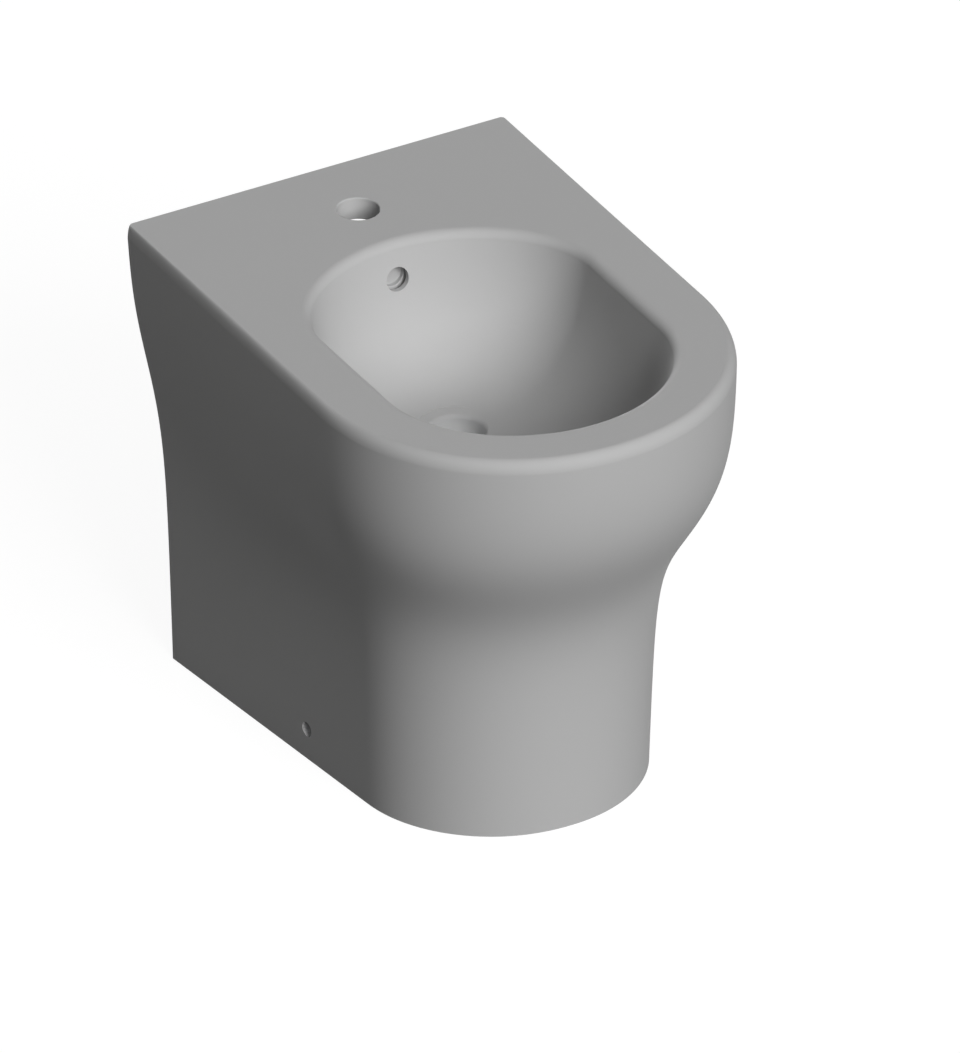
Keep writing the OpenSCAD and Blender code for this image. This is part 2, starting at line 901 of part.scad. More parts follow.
module trap_bottle() {
    side_l = socket_y - drain_y;
    color(plastic)
    on_drain()
        difference() {
            union() {
                translate([0, 0, bottle_z])
                    cylinder(r = bottle_r, h = bottle_top_z - bottle_z);
                translate([0, 0, bottle_top_z])
                    cylinder(r1 = bottle_r, r2 = neck_r + neck_flare, h = shoulder_h);
                translate([0, 0, neck_z])
                    cylinder(r = neck_r, h = neck_h);
                translate([0, 0, outlet_z])
                    rotate([-90, 0, 0])
                        cylinder(r = socket_r, h = side_l);
            }
            translate([0, 0, bottle_z - cut])
                cylinder(r = bottle_r - bottle_t, h = bottle_top_z - bottle_z + cut);
            translate([0, 0, bottle_top_z])
                cylinder(r1 = bottle_r - bottle_t, r2 = pipe_r + neck_flare, h = shoulder_h);
            translate([0, 0, bottle_top_z - cut])
                cylinder(r = pipe_r + free_gap, h = shoulder_h + neck_h + 2 * cut);
            // the outlet socket, with the stop for its pipe
            translate([0, 0, outlet_z])
                rotate([-90, 0, 0]) {
                    cylinder(r = pipe_r - pipe_t, h = side_l + cut);
                    translate([0, 0, socket_stop_y - drain_y])
                        cylinder(r = pipe_r + run_gap, h = side_l);
                }
        }
}

module trap_cup() {
    color(plastic)
    on_drain()
        translate([0, 0, cup_z])
            difference() {
                union() {
                    cylinder(r = cup_r, h = cup_h);
                    grips(cup_r, cup_h);
                }
                translate([0, 0, cup_t])
                    cylinder(r = bottle_r + run_gap, h = cup_h);
            }
}

module cup_seal() {
    color(rubber)
    on_drain()
        translate([0, 0, cup_z + cup_t])
            ring(bottle_r - run_gap, bottle_r - bottle_t - 1, cup_seal_t);
}

module outlet_nut() {
    placed()
        translate([0, socket_y + seal_t + nut_lip, outlet_z])
            rotate([90, 0, 0])
                union_nut(socket_r, union_nut_h);
}

module outlet_seal() {
    color(rubber)
    placed()
        translate([0, socket_y, outlet_z])
            rotate([-90, 0, 0])
                ring(socket_r - seal_inset, pipe_r + press_gap, seal_t);
}

module outlet_pipe() {
    length = -socket_stop_y - outlet_gap;
    color(plastic)
    placed()
        translate([0, socket_stop_y, outlet_z])
            rotate([-90, 0, 0]) {
                ring(pipe_r, pipe_r - pipe_t, length);
                translate([0, 0, length - spigot_l - stop_w])
                    ring(pipe_r + stop_h, pipe_r - pipe_t / 2, stop_w);
            }
}

// a box from one side value to another, whichever is larger
module span(x0, x1, w, h) {
    translate([min(x0, x1), -w / 2, 0])
        cube([abs(x1 - x0), w, h]);
}

// steel angle screwed to the floor inside the foot
module floor_angle(side) {
    face_x = side * angle_x;
    color(steel)
    placed()
        translate([0, -side_hole_back, 0])
            difference() {
                union() {
                    span(face_x, side * (angle_x - angle_l), angle_w, angle_t);
                    span(face_x, side * (angle_x - angle_t), angle_w, angle_h);
                }
                translate([side * (angle_x - floor_hole_in), 0, -cut])
                    cylinder(d = floor_hole_d, h = angle_t + 2 * cut);
                translate([face_x - 2 * angle_t, 0, side_hole_z])
                    rotate([0, 90, 0])
                        cylinder(r = sleeve_r + run_gap, h = 4 * angle_t);
            }
}

module floor_angle_left() floor_angle(-1);

module floor_angle_right() floor_angle(1);

// nylon sleeves that the side screws bite into
module angle_sleeves() {
    color(nylon)
    both_sides(angle_x + sleeve_nose)
        mirror([0, 0, 1])
            difference() {
                union() {
                    cylinder(r = sleeve_r, h = sleeve_l);
                    translate([0, 0, sleeve_nose + angle_t])
                        cylinder(r = sleeve_flange_r, h = sleeve_flange_t);
                }
                translate([0, 0, -cut])
                    cylinder(r = screw_d / 2 + press_gap, h = sleeve_l + 2 * cut);
            }
}

module side_screws() {
    color(steel)
    both_sides(side_x - side_seat)
        difference() {
            union() {
                cylinder(r = head_r, h = head_t);
                translate([0, 0, head_t - screw_l])
                    cylinder(d = screw_d, h = screw_l - head_t + cut);
            }
            translate([0, 0, head_t - key_depth])
                cylinder(d = key_d, h = key_depth + cut, $fn = 6);
        }
}

ceramic_body();
waste_body();
waste_gasket();
boss_washer();
slip_washer();
waste_backnut();
plug_cap();
plug_ring();
plug_stem();
plug_cartridge();
plug_spring();
inlet_nut();
inlet_washer();
inlet_pipe();
bottle_nut();
bottle_seal();
trap_bottle();
trap_cup();
cup_seal();
outlet_nut();
outlet_seal();
outlet_pipe();
floor_angle_left();
floor_angle_right();
angle_sleeves();
side_screws();
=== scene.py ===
import math

import bmesh
import bpy
from mathutils import Matrix, Vector


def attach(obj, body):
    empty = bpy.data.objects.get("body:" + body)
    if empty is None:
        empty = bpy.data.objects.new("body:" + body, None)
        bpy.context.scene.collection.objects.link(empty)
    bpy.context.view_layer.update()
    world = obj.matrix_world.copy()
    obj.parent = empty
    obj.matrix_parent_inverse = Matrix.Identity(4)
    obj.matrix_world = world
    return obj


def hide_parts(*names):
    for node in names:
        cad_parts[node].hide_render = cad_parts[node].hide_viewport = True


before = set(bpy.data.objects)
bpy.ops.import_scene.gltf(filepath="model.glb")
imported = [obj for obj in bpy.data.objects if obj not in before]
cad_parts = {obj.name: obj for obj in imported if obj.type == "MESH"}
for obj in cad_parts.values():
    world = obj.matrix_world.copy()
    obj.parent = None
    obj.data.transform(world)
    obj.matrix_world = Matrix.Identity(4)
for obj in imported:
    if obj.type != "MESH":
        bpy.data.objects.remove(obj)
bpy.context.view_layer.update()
scene = bpy.context.scene


# The studio: a plain pale floor under the bidet, with white behind and around it.
# The camera stands far off to the front left and above, so that no line converges.
view_right = Vector((0.871085, -0.491132, 0.0))
view_up = Vector((0.251157, 0.445458, 0.859353))
view_back = Vector((-0.422056, -0.748570, 0.511383))
looked_at = Vector((0.0, -0.02165, 0.196)) - 0.001696 * view_right + 0.010463 * view_up

view_width = 0.85355
camera_distance = 3.0

camera = bpy.data.objects.new("camera", bpy.data.cameras.new("camera"))
camera.data.type = "ORTHO"
camera.data.ortho_scale = view_width
camera.data.clip_end = 20.0
turned_to_view = Matrix((view_right, view_up, view_back)).transposed().to_4x4()
camera.matrix_world = Matrix.Translation(looked_at + camera_distance * view_back) @ turned_to_view
scene.collection.objects.link(camera)
scene.camera = camera
scene.view_settings.view_transform = "Standard"


def seen_directly(nodes, links):
    """A mask that is 1 where the camera, a mirror or clear glass looks straight at a surface."""
    path = nodes.new("ShaderNodeLightPath")
    both = nodes.new("ShaderNodeMath")
    both.operation = "MAXIMUM"
    links.new(path.outputs["Is Camera Ray"], both.inputs[0])
    links.new(path.outputs["Is Glossy Ray"], both.inputs[1])
    every = nodes.new("ShaderNodeMath")
    every.operation = "MAXIMUM"
    links.new(both.outputs[0], every.inputs[0])
    links.new(path.outputs["Is Transmission Ray"], every.inputs[1])
    return every.outputs[0]


air_light = 0.02
world = bpy.data.worlds.new("white studio")
world.use_nodes = True
scene.world = world
sky = world.node_tree.nodes
sky.clear()
air = sky.new("ShaderNodeBackground")
air.inputs["Color"].default_value = (1.0, 1.0, 1.0, 1.0)
air.inputs["Strength"].default_value = air_light
backdrop = sky.new("ShaderNodeBackground")
backdrop.inputs["Color"].default_value = (1.0, 1.0, 1.0, 1.0)
backdrop.inputs["Strength"].default_value = 1.0
either = sky.new("ShaderNodeMixShader")
world.node_tree.links.new(seen_directly(sky, world.node_tree.links), either.inputs["Fac"])
world.node_tree.links.new(air.outputs[0], either.inputs[1])
world.node_tree.links.new(backdrop.outputs[0], either.inputs[2])
world.node_tree.links.new(
    either.outputs[0], sky.new("ShaderNodeOutputWorld").inputs["Surface"])

floor_grey = (0.12, 0.12, 0.12, 1.0)
floor_glow = (0.93, 0.93, 0.93, 1.0)
floor_reach = 9.0
floor_level = -0.0006
floor_paint = bpy.data.materials.new("studio floor")
floor_paint.use_nodes = True
paint = floor_paint.node_tree.nodes
paint.clear()
matt = paint.new("ShaderNodeBsdfDiffuse")
matt.inputs["Color"].default_value = floor_grey
white = paint.new("ShaderNodeEmission")
white.inputs["Color"].default_value = floor_glow
floor_paint.node_tree.links.new(
    seen_directly(paint, floor_paint.node_tree.links), white.inputs["Strength"])
lit = paint.new("ShaderNodeAddShader")
floor_paint.node_tree.links.new(matt.outputs[0], lit.inputs[0])
floor_paint.node_tree.links.new(white.outputs[0], lit.inputs[1])
floor_paint.node_tree.links.new(
    lit.outputs[0], paint.new("ShaderNodeOutputMaterial").inputs["Surface"])

floor_mesh = bpy.data.meshes.new("floor")
floor_mesh.from_pydata(
    [(x * floor_reach, y * floor_reach, floor_level)
     for x, y in ((-1, -1), (1, -1), (1, 1), (-1, 1))], [], [(0, 1, 2, 3)])
floor_mesh.materials.append(floor_paint)
studio_floor = bpy.data.objects.new("floor", floor_mesh)
scene.collection.objects.link(studio_floor)


def soft_lamp(name, side, height, strength, spread):
    """A far, soft lamp that shines from so many degrees to the right of the front, and up."""
    lamp = bpy.data.objects.new(name, bpy.data.lights.new(name, "SUN"))
    lamp.data.energy = strength
    lamp.data.angle = math.radians(spread)
    lamp.rotation_euler = (math.radians(90.0 - height), 0.0, math.radians(side))
    scene.collection.objects.link(lamp)


soft_lamp("low_front_lamp", 0, 28, 2.55, 30)
soft_lamp("high_front_lamp", 0, 50, 0.85, 60)
soft_lamp("back_lamp", 176, 3, 3.0, 30)


# The pan: one hollow casting of satin-glazed vitreous china. Its wall is wide at the rim,
# drawn in to a waist under the bowl and narrow at the foot; the mould's shape follows
# two smooth waist curves, so the wall is worked out by a node tree from the real sizes.
def mottle_group():
    """Slow changes of tone and gloss, and a fine ripple, over any fired or moulded surface."""
    group = bpy.data.node_groups.new("Mottle", "ShaderNodeTree")
    for name, kind, value in (
            ("Color", "NodeSocketColor", (0.5, 0.5, 0.5, 1.0)),
            ("Tone change", "NodeSocketFloat", 0.03),
            ("Roughness", "NodeSocketFloat", 0.5),
            ("Gloss change", "NodeSocketFloat", 0.05),
            ("Patch scale", "NodeSocketFloat", 14.0),
            ("Ripple scale", "NodeSocketFloat", 400.0)):
        socket = group.interface.new_socket(name, in_out="INPUT", socket_type=kind)
        socket.default_value = value
    for name, kind in (("Color", "NodeSocketColor"), ("Roughness", "NodeSocketFloat"),
            ("Height", "NodeSocketFloat")):
        group.interface.new_socket(name, in_out="OUTPUT", socket_type=kind)
    nodes, links = group.nodes, group.links
    given = nodes.new("NodeGroupInput")
    result = nodes.new("NodeGroupOutput")
    where = nodes.new("ShaderNodeTexCoord").outputs["Object"]
    patches = nodes.new("ShaderNodeTexNoise")
    patches.inputs["Detail"].default_value = 3.0
    ripple = nodes.new("ShaderNodeTexNoise")
    ripple.inputs["Detail"].default_value = 2.0
    links.new(where, patches.inputs["Vector"])
    links.new(where, ripple.inputs["Vector"])
    links.new(given.outputs["Patch scale"], patches.inputs["Scale"])
    links.new(given.outputs["Ripple scale"], ripple.inputs["Scale"])

    def around_middle(amount, base):
        centred = nodes.new("ShaderNodeMath")
        centred.operation = "SUBTRACT"
        centred.inputs[1].default_value = 0.5
        links.new(patches.outputs["Fac"], centred.inputs[0])
        scaled = nodes.new("ShaderNodeMath")
        scaled.operation = "MULTIPLY_ADD"
        links.new(centred.outputs[0], scaled.inputs[0])
        links.new(amount, scaled.inputs[1])
        if base is None:
            scaled.inputs[2].default_value = 1.0
        else:
            links.new(base, scaled.inputs[2])
        return scaled.outputs[0]

    tone = nodes.new("ShaderNodeVectorMath")
    tone.operation = "SCALE"
    links.new(given.outputs["Color"], tone.inputs[0])
    links.new(around_middle(given.outputs["Tone change"], None), tone.inputs["Scale"])
    links.new(tone.outputs[0], result.inputs["Color"])
    links.new(
        around_middle(given.outputs["Gloss change"], given.outputs["Roughness"]),
        result.inputs["Roughness"])
    links.new(ripple.outputs["Fac"], result.inputs["Height"])
    return group


mottle = mottle_group()


def surface(name, color, roughness, tone=0.03, gloss=0.05, patch=14.0, ripple=400.0,
            relief=0.00002, metallic=0.0, specular=0.5):
    """A finish: its colour and gloss with the mottle, and the shader's own plain values."""
    made = bpy.data.materials.new(name)
    made.use_nodes = True
    nodes, links = made.node_tree.nodes, made.node_tree.links
    shader = nodes["Principled BSDF"]
    shader.inputs["Metallic"].default_value = metallic
    shader.inputs["Specular IOR Level"].default_value = specular
    effect = nodes.new("ShaderNodeGroup")
    effect.node_tree = mottle
    effect.inputs["Color"].default_value = (*color, 1.0)
    effect.inputs["Tone change"].default_value = tone
    effect.inputs["Roughness"].default_value = roughness
    effect.inputs["Gloss change"].default_value = gloss
    effect.inputs["Patch scale"].default_value = patch
    effect.inputs["Ripple scale"].default_value = ripple
    relief_node = nodes.new("ShaderNodeBump")
    relief_node.inputs["Distance"].default_value = relief
    links.new(effect.outputs["Color"], shader.inputs["Base Color"])
    links.new(effect.outputs["Roughness"], shader.inputs["Roughness"])
    links.new(effect.outputs["Height"], relief_node.inputs["Height"])
    links.new(relief_node.outputs[0], shader.inputs["Normal"])
    return made


china = surface("satin china", (0.45, 0.45, 0.45), 0.65, tone=0.03, gloss=0.06, patch=9.0,
    ripple=260.0, relief=0.00002, specular=0.12)


class Sized:
    """A number on each point of a moulded wall, worked out by Math nodes."""

    def __init__(self, tree, socket):
        self.tree = tree
        self.socket = socket

    def by(self, operation, *others, clamp=False):
        node = self.tree.nodes.new("ShaderNodeMath")
        node.operation = operation
        node.use_clamp = clamp
        for place, value in enumerate((self, *others)):
            if isinstance(value, Sized):
                self.tree.links.new(value.socket, node.inputs[place])
            else:
                node.inputs[place].default_value = value
        return Sized(self.tree, node.outputs[0])

    def __add__(self, other):
        return self.by("ADD", other)

    def __sub__(self, other):
        return self.by("SUBTRACT", other)

    def __mul__(self, other):
        return self.by("MULTIPLY", other)

    def __truediv__(self, other):
        return self.by("DIVIDE", other)

    def __rsub__(self, other):
        return self * -1.0 + other

    def __rtruediv__(self, other):
        return self.by("POWER", -1.0) * other

    __radd__ = __add__
    __rmul__ = __mul__

    def sine(self):
        return self.by("SINE").by("MAXIMUM", 0.0)

    def cosine(self):
        return self.by("COSINE").by("MAXIMUM", 0.0)


def blend(first, last, share):
    return first + (last - first) * share


def mould_tree(name, sizes, around, levels, place):
    """A tree that starts from a plain closed tube and puts each point where the rule says."""
    tree = bpy.data.node_groups.new(name, "GeometryNodeTree")
    tree.is_modifier = True
    tree.interface.new_socket("Geometry", in_out="OUTPUT", socket_type="NodeSocketGeometry")
    entry = tree.nodes.new("NodeGroupInput")
    given = {}
    for size, value in sizes.items():
        socket = tree.interface.new_socket(
            size, in_out="INPUT", socket_type="NodeSocketFloat")
        socket.default_value = value
        given[size] = Sized(tree, entry.outputs[size])
    tube = tree.nodes.new("GeometryNodeMeshCylinder")
    tube.fill_type = "NGON"
    tube.inputs["Vertices"].default_value = around
    tube.inputs["Side Segments"].default_value = levels
    tube.inputs["Radius"].default_value = 1.0
    tube.inputs["Depth"].default_value = 1.0
    spot = tree.nodes.new("ShaderNodeSeparateXYZ")
    tree.links.new(tree.nodes.new("GeometryNodeInputPosition").outputs[0], spot.inputs[0])
    x, y, z = (Sized(tree, spot.outputs[i]) for i in range(3))
    half_way = x.by("ABSOLUTE").by("ARCTAN2", y) * (around / 2 / math.pi)
    side, back, height = place(given, half_way, z + 0.5)
    put = tree.nodes.new("ShaderNodeCombineXYZ")
    for socket, value in zip(put.inputs, (side * x.by("SIGN"), back, height)):
        tree.links.new(value.socket, socket)
    move = tree.nodes.new("GeometryNodeSetPosition")
    tree.links.new(tube.outputs["Mesh"], move.inputs["Geometry"])
    tree.links.new(put.outputs[0], move.inputs["Position"])
    whole = tree.nodes.new("GeometryNodeRealizeInstances")
    tree.links.new(move.outputs[0], whole.inputs[0])
    glaze = tree.nodes.new("GeometryNodeSetMaterial")
    glaze.inputs["Material"].default_value = china
    tree.links.new(whole.outputs[0], glaze.inputs["Geometry"])
    tree.links.new(glaze.outputs[0], tree.nodes.new("NodeGroupOutput").inputs[0])
    return tree


def stretch(way, start, count):
    """How much of one stretch of the outline lies behind a point, from 0 to 1."""
    return (way - start).by("DIVIDE", count, clamp=True)


def solid_of(name, tree, **sizes):
    """A plain mesh object made by a tree, with the named sizes changed."""
    made = bpy.data.objects.new(name, bpy.data.meshes.new(name))
    scene.collection.objects.link(made)
    rule = made.modifiers.new("mould", "NODES")
    rule.node_group = tree
    for item in tree.interface.items_tree:
        if item.in_out == "INPUT" and item.name in sizes:
            rule[item.identifier] = sizes[item.name]
    return plain(made)


def plain(made):
    """Replaces an object's modifiers by the mesh that they give."""
    seen = made.evaluated_get(bpy.context.evaluated_depsgraph_get())
    mesh = bpy.data.meshes.new_from_object(seen)
    mesh.name = made.name
    made.modifiers.clear()
    old = made.data
    made.data = mesh
    bpy.data.meshes.remove(old)
    return made


wall_plane = 0.25275
rim_height = 0.402
rounding_height = 0.0122
past_wall_plane = 0.02
wall_sizes = {
    "Rim width": 0.360, "Back width": 0.3528, "Foot width": 0.2494, "Foot back width": 0.2982,
    "Rim depth": 0.5055, "Foot depth": 0.4176, "Foot setback": 0.0263,
    "Nose": 0.181, "Foot nose": 0.1108,
    "Waist height": 0.249, "Waist softness": 0.031, "Front taper": 0.2,
    "Back waist height": 0.284, "Back softness": 0.037, "Back taper": 0.32,
    "Front waist at rim": 0.0085, "Back waist at rim": 0.0370,
    "Bottom": 0.0, "Top": rim_height - rounding_height, "Rounding": rounding_height,
    "Rounding inwards": 1.0, "Side rounding": 0.0062, "Back rounding": 0.0026,
    "Front rounding": 0.0086, "Nose rounding": 0.0046,
    "Nose fullness": 2.04, "Foot fullness": 0.06,
    "Corner": 0.003, "Wall": 0.0, "Open back": 0.0,
}

# points along each stretch of half the wall's outline, and the share of its levels below
# the rim's rounding
back_points, corner_points, side_points, nose_points = 8.0, 6.0, 24.0, 58.0
upright_levels = 0.8
rim_fade = 8.0


def wall_point(size, way, level):
    """Where a point of the outer wall lies: its distance from the middle, y and z."""
    upright = stretch(level, 0.0, upright_levels)
    over = stretch(level, upright_levels, 1.0 - upright_levels) * (math.pi / 2)
    height = blend(size["Bottom"], size["Top"], upright)
    inwards = (1.0 - over.cosine()) * size["Rounding inwards"]

    def waist(middle, softness, taper):
        drop = (height - size[middle]) / size[softness]
        return (1.0 - size[taper] * (height / rim_height)) / (drop.by("EXPONENT") + 1.0)

    # what a waist curve still holds at the rim is taken off there, on the outer wall alone
    at_rim = upright.by("POWER", rim_fade) * (1.0 - size["Wall"].by("SIGN"))
    front = waist("Waist height", "Waist softness", "Front taper") \
        - at_rim * size["Front waist at rim"]
    rear = waist("Back waist height", "Back softness", "Back taper") \
        - at_rim * size["Back waist at rim"]
    wide_back = blend(size["Back width"], size["Foot back width"], rear) * 0.5 \
        - size["Wall"] - inwards * size["Back rounding"]
    wide = blend(size["Rim width"], size["Foot width"], front) * 0.5 \
        - size["Wall"] - inwards * size["Side rounding"]
    depth = blend(size["Rim depth"], size["Foot depth"], front) - size["Wall"] \
        - inwards * size["Front rounding"]
    nose = blend(size["Nose"], size["Foot nose"], front) - size["Wall"] \
        - inwards * size["Nose rounding"]
    back = blend(size["Foot setback"] * rear * -1.0, past_wall_plane, size["Open back"])
    power = 2.0 / (front * size["Foot fullness"] + size["Nose fullness"])

    turn = stretch(way, back_points, corner_points) * (math.pi / 2)
    along = stretch(way, back_points + corner_points, side_points)
    round_nose = stretch(
        way, back_points + corner_points + side_points, nose_points) * (math.pi / 2)
    start = nose - depth
    corner = size["Corner"]
    lean = (wide_back - wide) / (back - start)
    in_share = round_nose.cosine().by("POWER", power)
    out_share = round_nose.by("SINE").by("MAXIMUM", 0.0).by("POWER", power)
    side = stretch(way, 0.0, back_points) * (wide_back - corner) + turn.sine() * corner \
        + along * (wide - wide_back) + wide * in_share - lean * nose * out_share * in_share - wide
    y = back - corner * (1.0 - turn.cosine()) + along * (start - back + corner) \
        - nose * out_share + wall_plane
    return side, y, height + size["Rounding"] * over.sine()


points_around = 192
wall_tree = mould_tree("waisted wall", wall_sizes, points_around, 120, wall_point)

bowl_sizes = {
    "Width": 0.2654, "Back": 0.1217, "Front": 0.4647, "Back curve": 0.1084,
    "Front curve": 0.1211, "Back fullness": 1.88, "Edge": 0.0089, "Edge rounding": 0.0089,
    "Bowl depth": 0.1245, "Draft": 0.17, "Squareness": 3.0, "Wall": 0.0, "Above": 0.001,
}
drain_back = 0.233
below_lip = 0.8
lip_levels = 0.17
floor_end = 0.994
curve_points, straight_points = 46.0, 4.0


def bowl_point(size, way, level):
    """Where a point of the bowl's wall lies: its distance from the middle, y and z."""
    fall = (1.0 - stretch(level, 0.0, below_lip)) * (floor_end * math.pi / 2)
    lip = stretch(level, below_lip, lip_levels) * (math.pi / 2)
    top_edge = stretch(level, below_lip + lip_levels, 1.0 - below_lip - lip_levels)
    power = 2.0 / size["Squareness"]
    down = fall.sine().by("POWER", power)
    share = fall.cosine().by("POWER", power) * (1.0 - size["Draft"] * down)
    spread = size["Edge rounding"] * (1.0 - lip.cosine())
    less = size["Edge"] - spread - size["Wall"]
    half = size["Width"] * 0.5 - less
    back = size["Back"] + less
    front = size["Front"] - less
    back_curve = size["Back curve"] - less
    front_curve = size["Front curve"] - less
    behind = (1.0 - stretch(way, 0.0, curve_points)) * (math.pi / 2)
    beside = stretch(way, curve_points, straight_points)
    ahead = stretch(way, curve_points + straight_points, curve_points) * (math.pi / 2)
    fullness = 2.0 / size["Back fullness"]
    side = half * behind.cosine().by("POWER", fullness) + half * (ahead.cosine() - 1.0)
    y = back_curve * behind.sine().by("POWER", fullness) - back_curve - back \
        + beside * (front_curve - front + back_curve + back) - front_curve * ahead.sine()
    top = rim_height - size["Edge"]
    height = top - (size["Bowl depth"] - size["Edge"] + size["Wall"]) * down \
        + size["Edge rounding"] * lip.by("SINE") \
        + top_edge * (size["Above"] + size["Edge"] - size["Edge rounding"])
    return side * share, (y + drain_back) * share - drain_back + wall_plane, height


bowl_tree = mould_tree("bowl", bowl_sizes, points_around, 110, bowl_point)


def combined(target, tool, operation="DIFFERENCE"):
    """Cuts, joins or intersects a solid with a tool, which is then thrown away."""
    step = target.modifiers.new("step", "BOOLEAN")
    step.operation = operation
    step.solver = "MANIFOLD"
    step.object = tool
    plain(target)
    bpy.data.objects.remove(tool)
    return target


def block(low, high):
    """A plain block between two corners, used as a tool."""
    form = bmesh.new()
    bmesh.ops.create_cube(form, size=1.0)
    for corner in form.verts:
        corner.co = [a + (b - a) * (c + 0.5) for a, b, c in zip(low, high, corner.co)]
    return from_form("block", form)


def from_form(name, form):
    mesh = bpy.data.meshes.new(name)
    form.to_mesh(mesh)
    form.free()
    made = bpy.data.objects.new(name, mesh)
    scene.collection.objects.link(made)
    return made


def turned(name, outline, centre, axis="Z", around=96):
    """A solid turned about an axis from an outline of (radius, distance along the axis)."""
    form = bmesh.new()
    rows = []
    for radius, along in outline:
        if radius < 1e-6:
            rows.append([form.verts.new((0.0, 0.0, along))] * around)
            continue
        rows.append([
            form.verts.new((
                radius * math.cos(2 * math.pi * i / around),
                radius * math.sin(2 * math.pi * i / around),
                along,
            )) for i in range(around)])
    for row, following in zip(rows, rows[1:] + rows[:1]):
        for i in range(around):
            corners = [row[i - 1], row[i], following[i], following[i - 1]]
            corners = [c for n, c in enumerate(corners) if c not in corners[:n]]
            if len(corners) > 2:
                form.faces.new(corners)
    bmesh.ops.recalc_face_normals(form, faces=form.faces)
    if axis == "Y":
        form.transform(Matrix.Rotation(-math.pi / 2, 4, "X"))
    if axis == "X":
        form.transform(Matrix.Rotation(math.pi / 2, 4, "Y"))
    form.transform(Matrix.Translation(centre))
    return from_form(name, form)


def arc(centre, radius, first, last, steps=8):
    """Points of a rounded corner of an outline, angles in degrees."""
    return [
        (centre[0] + radius * math.cos(math.radians(first + (last - first) * i / steps)),
         centre[1] + radius * math.sin(math.radians(first + (last - first) * i / steps)))
        for i in range(steps + 1)]


def rod(name, radius, low, high, centre, axis, around=96):
    """A plain round tool between two distances along its axis."""
    return turned(name, [(0.0, low), (radius, low), (radius, high), (0.0, high)],
        centre, axis=axis, around=around)


pan = solid_of("pan", wall_tree)

# the space inside the wall, less the bowl's shell, the duct's strip and the bosses
wall_thickness = 0.012
deck_thickness = 0.020
overrun = 0.001
past_back = 0.4
drain_y = wall_plane - drain_back
bowl_floor = rim_height - bowl_sizes["Bowl depth"]
boss_bottom = bowl_floor - 0.050
boss_radius = 0.042
boss_edge = 0.002
duct_start = drain_y + 0.0265
strip_outer = 0.019
strip_half = 0.028
side_hole_y = wall_plane - 0.221
side_hole_z = 0.028
side_hole_x = 0.13292
side_boss_radius = 0.014
side_boss_length = 0.017
cavity = solid_of("cavity", wall_tree, **{
    "Bottom": -overrun, "Top": rim_height - deck_thickness, "Rounding": 0.0,
    "Rounding inwards": 0.0, "Corner": 0.0, "Wall": wall_thickness, "Open back": 1.0})
combined(cavity, solid_of("shell", bowl_tree, **{"Wall": wall_thickness, "Edge rounding": 0.0}))
strip = solid_of("strip", bowl_tree, **{"Wall": strip_outer, "Edge rounding": 0.0})
combined(strip, block(
    (-strip_half, duct_start, boss_bottom), (strip_half, past_back, rim_height)), "INTERSECT")
combined(cavity, strip)
combined(cavity, turned("boss", [
    (0.0, boss_bottom),
    *arc((boss_radius - boss_edge, boss_bottom + boss_edge), boss_edge, -90, 0, 5),
    (boss_radius, bowl_floor), (0.0, bowl_floor)], (0.0, drain_y, 0.0)))
for hand in (-1, 1):
    low, high = sorted((0.0, -hand * side_boss_length))
    combined(cavity, rod("side_boss", side_boss_radius, low, high,
        (hand * side_hole_x, side_hole_y, side_hole_z), "X", around=48))
combined(pan, cavity)
combined(pan, solid_of("bowl", bowl_tree))

# the overflow's duct behind the bowl, which drops into the chamber round the waste
duct_half = 0.018
duct_inner = 0.0045
duct_outer = 0.010
duct_top = rim_height - 0.0207
chamber_low = boss_bottom + 0.008
chamber_high = boss_bottom + 0.022
drop_half = 0.011
drop_depth = 0.008
duct = solid_of("duct", bowl_tree, **{"Wall": duct_outer, "Edge rounding": 0.0})
combined(duct, block(
    (-duct_half, duct_start, chamber_high), (duct_half, past_back, duct_top)), "INTERSECT")
combined(duct, solid_of("duct_wall", bowl_tree, **{"Wall": duct_inner, "Edge rounding": 0.0}))
combined(pan, duct)
combined(pan, block((-drop_half, duct_start, boss_bottom + 0.010),
    (drop_half, duct_start + drop_depth, bowl_floor - 0.0065)))

# the round holes: overflow, tap, and the drain with the chamber and the ledge of the waste
overflow_radius = 0.0103
overflow_reach = 0.029
combined(pan, rod("overflow_hole", overflow_radius, 0.0, overflow_reach,
    (0.0, wall_plane - 0.1517, rim_height - 0.033), "Y"))
tap_radius = 0.0175
tap_edge = 0.0014
tap_back = 0.070
tap_hole_deep = 0.022
combined(pan, turned("tap_hole", [
    (0.0, -tap_hole_deep), (tap_radius, -tap_hole_deep),
    *arc((tap_radius + tap_edge, -tap_edge), tap_edge, 180, 90, 6),
    (0.0190, tap_edge), (0.0, tap_edge)], (0.0, wall_plane - tap_back, rim_height)))
waste_hole = 0.0216
chamber_radius = 0.031
drain_radius = 0.023
drain_lip = 0.004
drain_ledge = bowl_floor - 0.020
lip_middle = (drain_radius + drain_lip, bowl_floor - 0.00334)
flare_end = (0.034, bowl_floor + 0.00195)
above_floor = bowl_floor + 0.004
combined(pan, turned("drain_hole", [
    (0.0, boss_bottom - overrun), (waste_hole, boss_bottom - overrun),
    (waste_hole, chamber_low), (chamber_radius, chamber_low),
    (chamber_radius, chamber_high), (waste_hole, chamber_high),
    (waste_hole, drain_ledge), (drain_radius, drain_ledge),
    *arc(lip_middle, drain_lip, 180, 100, 9),
    flare_end, (flare_end[0], above_floor), (0.0, above_floor)],
    (0.0, drain_y, 0.0), around=128))
screw_hole = 0.0036
head_hole = 0.0065
head_seat = -0.0104
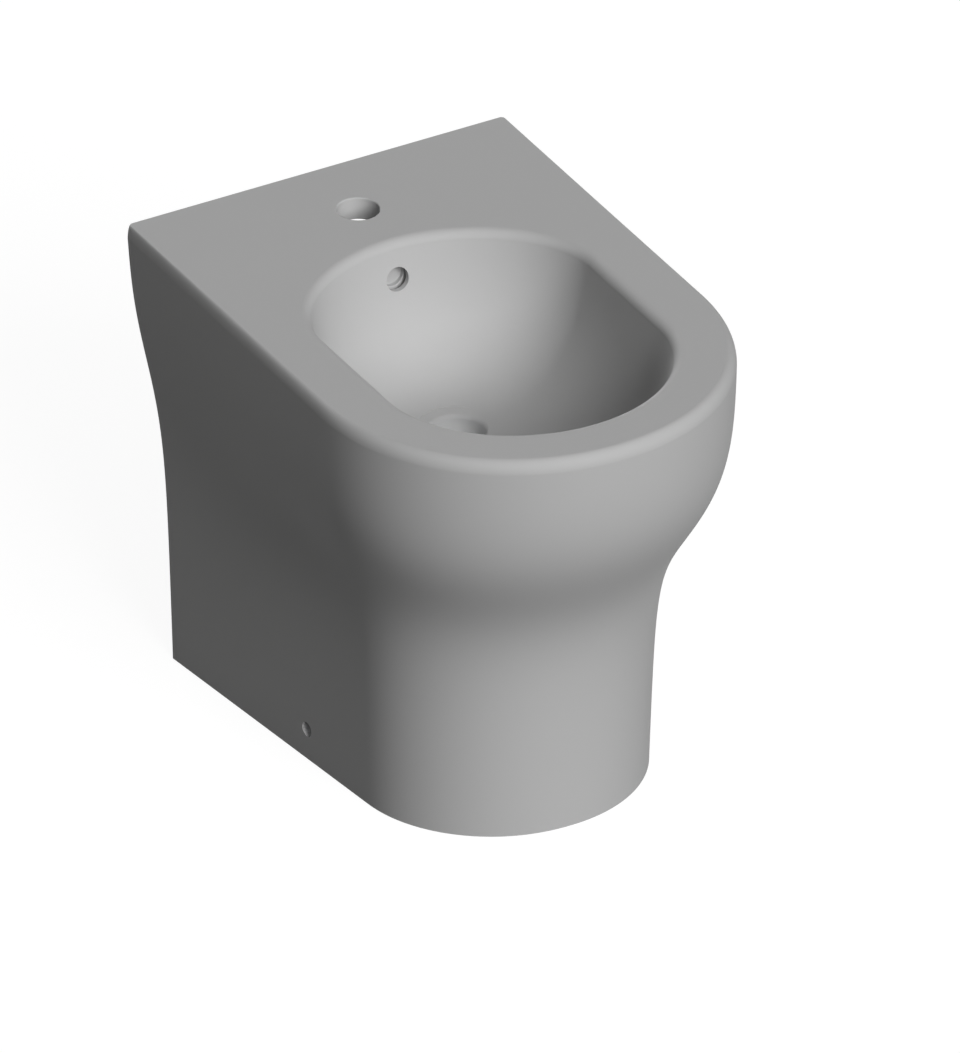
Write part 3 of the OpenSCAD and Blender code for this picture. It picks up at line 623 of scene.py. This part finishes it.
for hand in (-1, 1):
    seat = [(0.0, -0.040), (screw_hole, -0.040), (screw_hole, head_seat),
            (head_hole, head_seat), (head_hole, 0.012), (0.0, 0.012)]
    combined(pan, turned("screw_hole", [(r, a * hand) for r, a in seat],
        (hand * side_hole_x, side_hole_y, side_hole_z), axis="X", around=64))


def smoothed(piece, angle=32.0):
    """Rounds the look of curved faces and keeps true edges crisp."""
    mesh = piece.data
    mesh.polygons.foreach_set("use_smooth", [True] * len(mesh.polygons))
    mesh.set_sharp_from_angle(angle=math.radians(angle))
    weigh = piece.modifiers.new("flat faces stay flat", "WEIGHTED_NORMAL")
    weigh.mode = "FACE_AREA"
    weigh.weight = 90
    weigh.keep_sharp = True
    return plain(piece)


smoothed(pan)


pan.data.materials.clear()
pan.data.materials.append(china)
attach(pan, "pan")
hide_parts("ceramic_body")


# The waste and its push plug: a slotted brass tube, chromed where water reaches it, pulled down
# on a rubber gasket in the drain by a nut under the pan's boss. A spider in the tube carries the
# plug's screwed-in guide, in which the sprung stem with the cap and its ring slides.
def finished(material, *names):
    """Gives fittings the finish that they leave the works with."""
    for name in names:
        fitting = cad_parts[name]
        fitting.data.materials.clear()
        fitting.data.materials.append(material)


chrome = surface("polished chrome", (0.80, 0.81, 0.82), 0.14, gloss=0.05, metallic=1.0)
brass = surface("machined brass", (0.60, 0.42, 0.18), 0.32, tone=0.12, metallic=1.0)
spring_steel = surface("spring steel", (0.50, 0.50, 0.51), 0.28, tone=0.08, metallic=1.0)
black_rubber = surface("black rubber", (0.045, 0.045, 0.047), 0.62, tone=0.2, gloss=0.1)
nylon = surface("natural nylon", (0.72, 0.72, 0.68), 0.5, tone=0.04)
finished(chrome, "waste_body", "plug_cap")
finished(brass, "waste_backnut", "plug_cartridge")
finished(spring_steel, "plug_stem", "plug_spring")
finished(black_rubber, "waste_gasket", "boss_washer", "plug_ring")
finished(nylon, "slip_washer")


# The trap: a bottle of moulded white polypropylene that hangs from the waste by a union nut. The
# dip pipe stands in its screw-off cup, and the outlet pipe runs from its side back to the wall.
# Union nuts and rubber seals close each joint by hand.
white_plastic = surface("white polypropylene", (0.80, 0.80, 0.77), 0.38, tone=0.03)
seal_rubber = surface("seal rubber", (0.06, 0.06, 0.062), 0.55, tone=0.15, gloss=0.1)
finished(white_plastic, "inlet_nut", "inlet_pipe", "bottle_nut", "trap_bottle", "trap_cup",
    "outlet_nut", "outlet_pipe")
finished(seal_rubber, "inlet_washer", "bottle_seal", "cup_seal", "outlet_seal")


# The fixing: two bent steel angles, zinc-plated, that are screwed to the floor inside the foot.
# A screw through each side of the foot runs in a nylon sleeve into its angle, and holds the
# pan down without any plate or bracket showing.
zinc_plate = surface("zinc-plated steel", (0.62, 0.63, 0.65), 0.36, tone=0.1, metallic=1.0)
finished(zinc_plate, "floor_angle_left", "floor_angle_right", "side_screws")
finished(nylon, "angle_sleeves")
